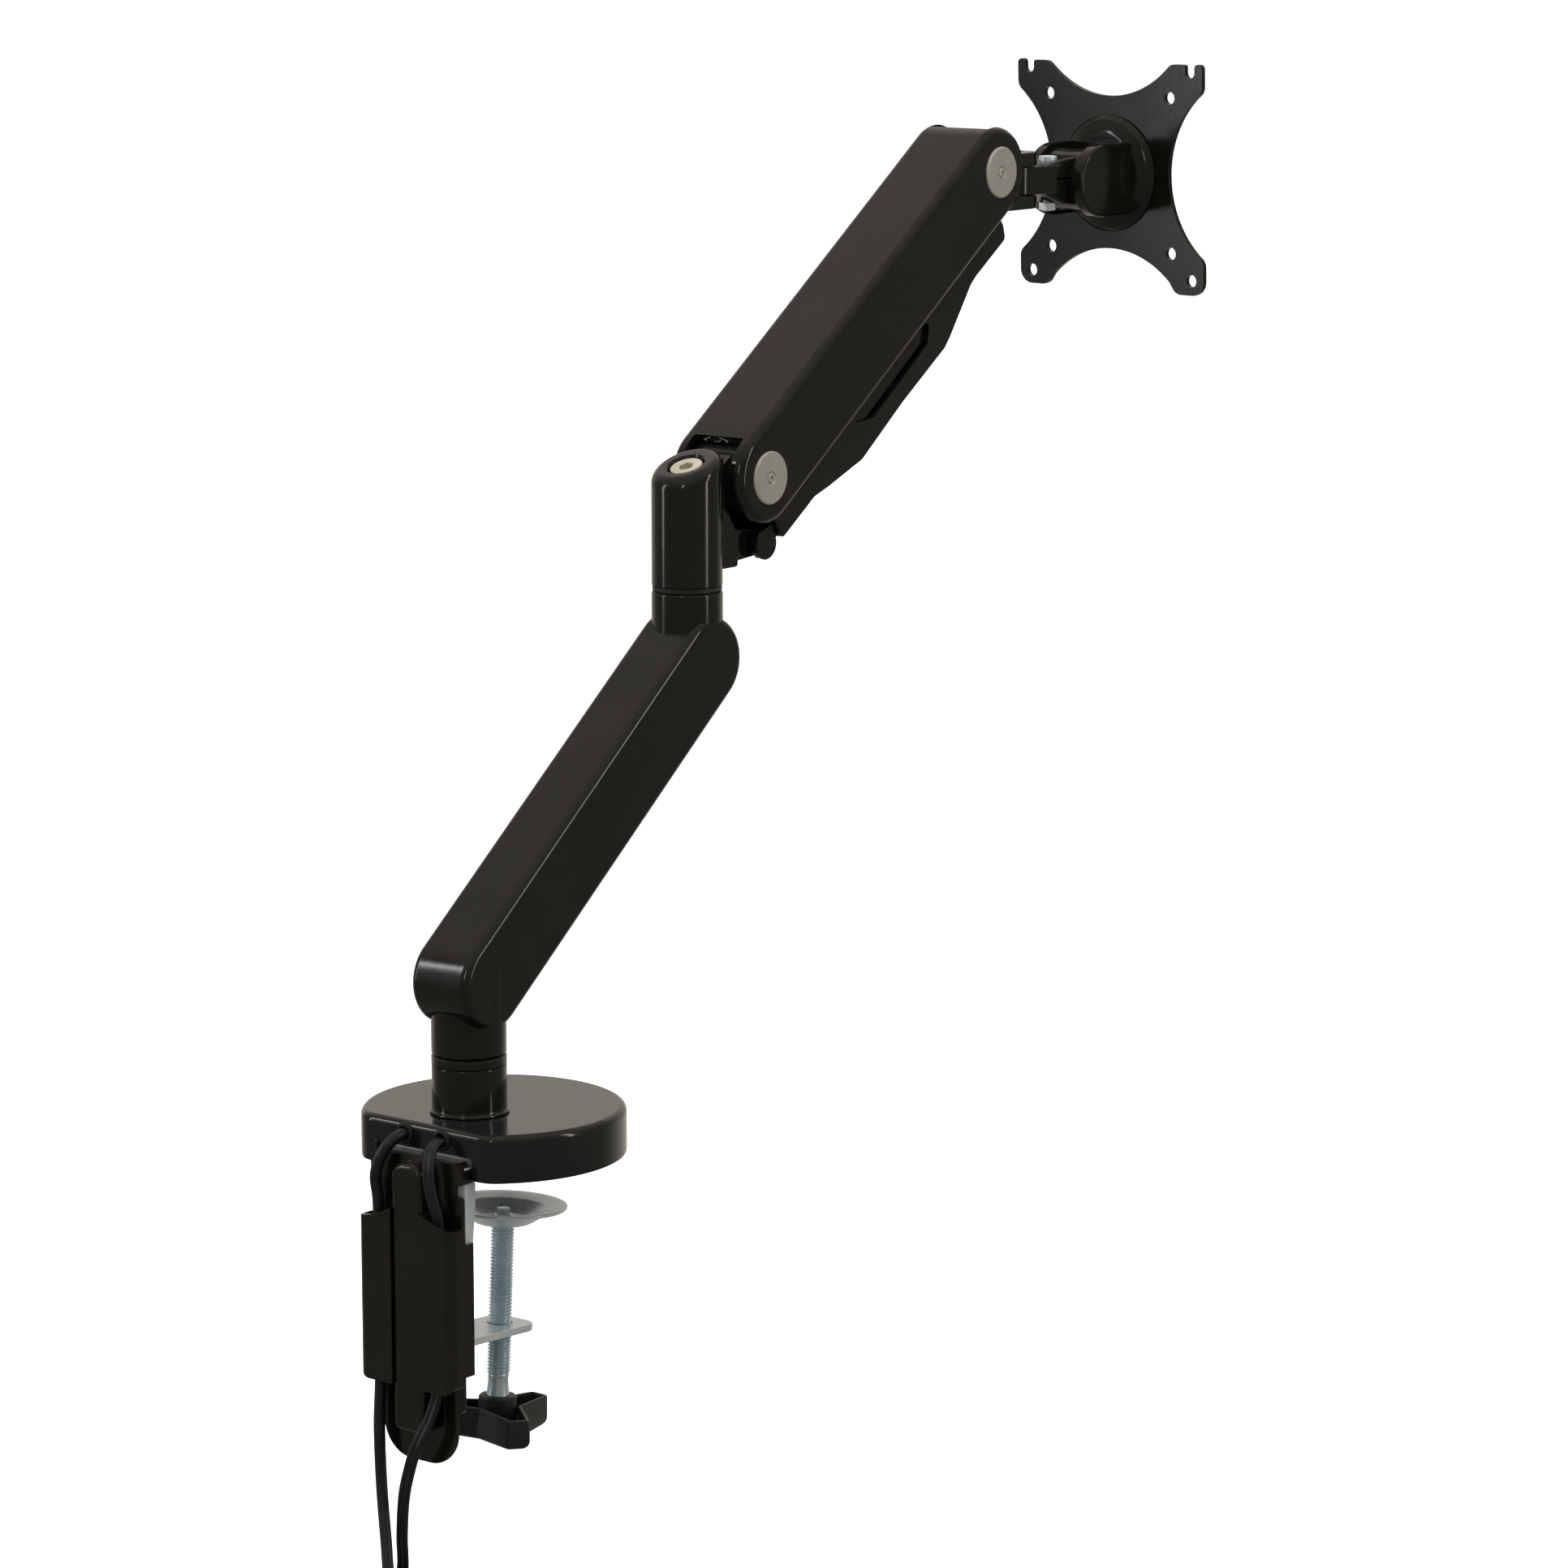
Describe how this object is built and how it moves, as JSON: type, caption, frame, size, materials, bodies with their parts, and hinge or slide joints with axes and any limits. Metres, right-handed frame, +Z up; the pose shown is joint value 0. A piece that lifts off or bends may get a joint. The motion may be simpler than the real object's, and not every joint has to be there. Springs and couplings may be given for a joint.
{
  "type": "monitor arm",
  "caption": "Desk-clamp monitor arm with a hub base, swivelling lower arm, sprung parallelogram upper arm and a pan, tilt and rotate screen plate.",
  "frame": {"origin": "the desk contact point under the base, on the vertical post axis", "axes": "+Z up, +Y toward the screen, +X to the right of a person standing behind the arm and looking at the screen plate"},
  "size_m": [0.121, 0.5429, 0.745],
  "materials": {
    "gloss_black": "gloss",
    "matt_black": "fine matt texture",
    "rubber_black": "matt",
    "cord_black": "satin",
    "zinc": "bright zinc plate",
    "steel_plain": "plain",
    "nickel": "satin nickel"
  },
  "bodies": {
    "root": {"base_shell": "gloss_black", "base_pad": "rubber_black", "base_plate": "steel_plain", "base_post": "gloss_black", "swivel_washer": "matt_black", "base_spindle": "steel_plain", "usb_port_left": "steel_plain", "usb_port_right": "steel_plain", "audio_jack_left": "nickel", "audio_jack_right": "nickel", "cable_grommet_left": "rubber_black", "cable_grommet_right": "rubber_black", "clamp_bracket": "zinc", "bracket_bolt_left": "zinc", "bracket_bolt_right": "zinc", "cable_spine": "matt_black", "clip_cover_left": "matt_black", "clip_cover_right": "matt_black", "cable_left": "cord_black", "cable_right": "cord_black", "coil_left": "cord_black", "coil_right": "cord_black", "tail_left": "cord_black", "tail_right": "cord_black", "tie_left": "matt_black", "tie_right": "matt_black", "plug_usb": "matt_black", "plug_audio": "matt_black"},
    "pressure_pad": {"pressure_disc": "zinc", "disc_stud": "zinc"},
    "clamp_handle": {"clamp_screw": "zinc", "clamp_knob": "matt_black"},
    "lower_link": {"lower_arm": "gloss_black", "elbow_spindle": "steel_plain", "elbow_washer": "matt_black"},
    "elbow": {"elbow_knuckle": "gloss_black", "elbow_top_bolt": "nickel"},
    "upper_link": {"arm_shell": "gloss_black", "elbow_cap_left": "nickel", "elbow_cap_right": "nickel", "head_cap_left": "nickel", "head_cap_right": "nickel", "elbow_pin": "steel_plain", "head_pin": "steel_plain", "spring_cylinder": "gloss_black"},
    "spring_stroke": {"spring_rod": "steel_plain"},
    "parallel_bar": {"parallel_link": "gloss_black", "link_cover": "matt_black", "link_pin_elbow": "gloss_black", "link_pin_head": "steel_plain"},
    "front": {"front_knuckle": "gloss_black", "pan_pin": "steel_plain"},
    "head_pan": {"pan_block": "gloss_black", "tension_bolt": "zinc", "tension_nut": "zinc"},
    "head_tilt": {"tilt_yoke": "gloss_black", "tilt_shaft": "steel_plain"},
    "plate": {"vesa_plate": "gloss_black", "plate_screw": "zinc"}
  },
  "joints": [
    {"name": "base_swivel", "type": "hinge", "parent": "root", "child": "lower_link", "pos_m": [0, 0, 0.045], "axis": [0, 0, 1], "range_deg": [-180, 180]},
    {"name": "elbow_swivel", "type": "hinge", "parent": "lower_link", "child": "elbow", "pos_m": [0, 0.1508, 0.232], "axis": [0, 0, 1], "range_deg": [-150, 150]},
    {"name": "arm_lift", "type": "hinge", "parent": "elbow", "child": "upper_link", "pos_m": [0, 0.1847, 0.2789], "axis": [1, 0, 0], "range_deg": [-65, 19]},
    {"name": "spring_travel", "type": "slide", "parent": "upper_link", "child": "spring_stroke", "axis": [0, 0.8128, 0.5825], "range_m": [-0.005, 0.014]},
    {"name": "link_swing", "type": "hinge", "parent": "elbow", "child": "parallel_bar", "pos_m": [0, 0.1893, 0.2484], "axis": [1, 0, 0], "range_deg": [-66, 20]},
    {"name": "front_level", "type": "hinge", "parent": "upper_link", "child": "front", "pos_m": [0, 0.36132, 0.40549], "axis": [1, 0, 0], "range_deg": [-20, 66]},
    {"name": "head_pan", "type": "hinge", "parent": "front", "child": "head_pan", "pos_m": [0, 0.4017, 0.399], "axis": [0, 0, 1], "range_deg": [-85, 95]},
    {"name": "head_tilt", "type": "hinge", "parent": "head_pan", "child": "head_tilt", "pos_m": [0.00401, 0.44753, 0.3968], "axis": [0.9962, -0.0872, 0], "range_deg": [-42, 38]},
    {"name": "plate_rotate", "type": "hinge", "parent": "head_tilt", "child": "plate", "pos_m": [0.00627, 0.47337, 0.39881], "axis": [0.0871, 0.9956, 0.0349], "range_deg": [-90, 90]},
    {"name": "clamp_travel", "type": "slide", "parent": "root", "child": "pressure_pad", "axis": [0, 0.0593, 0.9982], "range_m": [-0.034, 0.012]},
    {"name": "screw_turn", "type": "hinge", "parent": "pressure_pad", "child": "clamp_handle", "pos_m": [0, 0.0184, -0.077], "axis": [0, 0.0593, 0.9982], "range_deg": [-8165, 2885]}
  ],
  "couplings": [
    {"joint": "link_swing", "follows": "arm_lift", "ratio": 1},
    {"joint": "front_level", "follows": "arm_lift", "ratio": -1},
    {"joint": "spring_travel", "follows": "arm_lift", "m_per_rad": -0.01},
    {"joint": "screw_turn", "follows": "clamp_travel", "rad_per_m": 4188.8}
  ]
}
